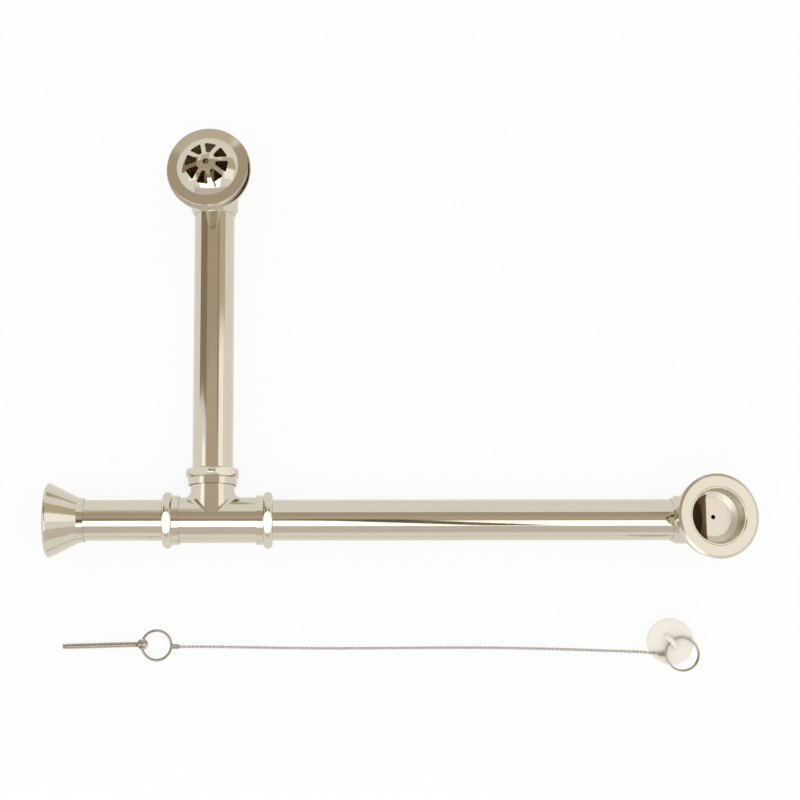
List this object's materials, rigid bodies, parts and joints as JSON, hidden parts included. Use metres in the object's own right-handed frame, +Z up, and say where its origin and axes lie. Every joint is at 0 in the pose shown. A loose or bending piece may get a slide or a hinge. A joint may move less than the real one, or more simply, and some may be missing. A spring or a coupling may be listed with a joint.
{
  "type": "bath waste and overflow",
  "caption": "Exposed bath waste and overflow: slotted overflow plate and drain shoe on slip-jointed tubes that meet at a tee, with an outlet bell and a rubber plug on a chain.",
  "frame": {"origin": "on the floor under the middle of the assembly's box, the plug and its chain left out", "axes": "+X along the waste tube from the outlet to the drain shoe, +Y along the overflow tube away from the tee, +Z up from the floor that the assembly lies on, the way both mouths face"},
  "size_m": [0.6526, 0.5023, 0.0926],
  "materials": {
    "polished_nickel": "polished nickel plating on brass",
    "black_rubber": "matt",
    "bright_steel": "plated wire",
    "white_rubber": "satin"
  },
  "bodies": {
    "tee_run": {"tee": "polished_nickel", "tail_slip_nut": "polished_nickel", "waste_slip_nut": "polished_nickel", "overflow_slip_nut": "polished_nickel", "tail_slip_washer": "black_rubber", "tailpiece": "polished_nickel", "plug": "white_rubber", "plug_ring": "bright_steel", "plug_chain_link": "bright_steel", "chain": "bright_steel", "screw_chain_link": "bright_steel", "screw_ring": "bright_steel", "eye_screw": "bright_steel"},
    "overflow_seal": {"overflow_slip_washer": "black_rubber"},
    "overflow_leg": {"overflow_tube": "polished_nickel", "overflow_elbow": "polished_nickel", "overflow_gasket": "black_rubber", "overflow_plate": "polished_nickel"},
    "waste_seal": {"waste_slip_washer": "black_rubber"},
    "waste_leg": {"waste_tube": "polished_nickel", "waste_shoe": "polished_nickel", "waste_gasket": "black_rubber", "waste_flange": "polished_nickel"},
    "bell": {"floor_bell": "polished_nickel"}
  },
  "joints": [
    {"name": "overflow_swivel", "type": "hinge", "parent": "tee_run", "child": "overflow_seal", "pos_m": [-0.17214, -0.12032, 0.03082], "axis": [0, 0.9996, -0.0271], "continuous": true},
    {"name": "overflow_slide", "type": "slide", "parent": "overflow_seal", "child": "overflow_leg", "axis": [0, 0.9996, -0.0271], "range_m": [-0.005, 0.01]},
    {"name": "waste_swivel", "type": "hinge", "parent": "tee_run", "child": "waste_seal", "pos_m": [-0.12165, -0.16223, 0.031], "axis": [0.9998, -0.0005, -0.0189], "continuous": true},
    {"name": "waste_slide", "type": "slide", "parent": "waste_seal", "child": "waste_leg", "axis": [0.9998, -0.0005, -0.0189], "range_m": [-0.013, 0.01]},
    {"name": "bell_slide", "type": "slide", "parent": "tee_run", "child": "bell", "axis": [0.9998, -0.0005, -0.0189], "range_m": [0, 0.068]}
  ]
}
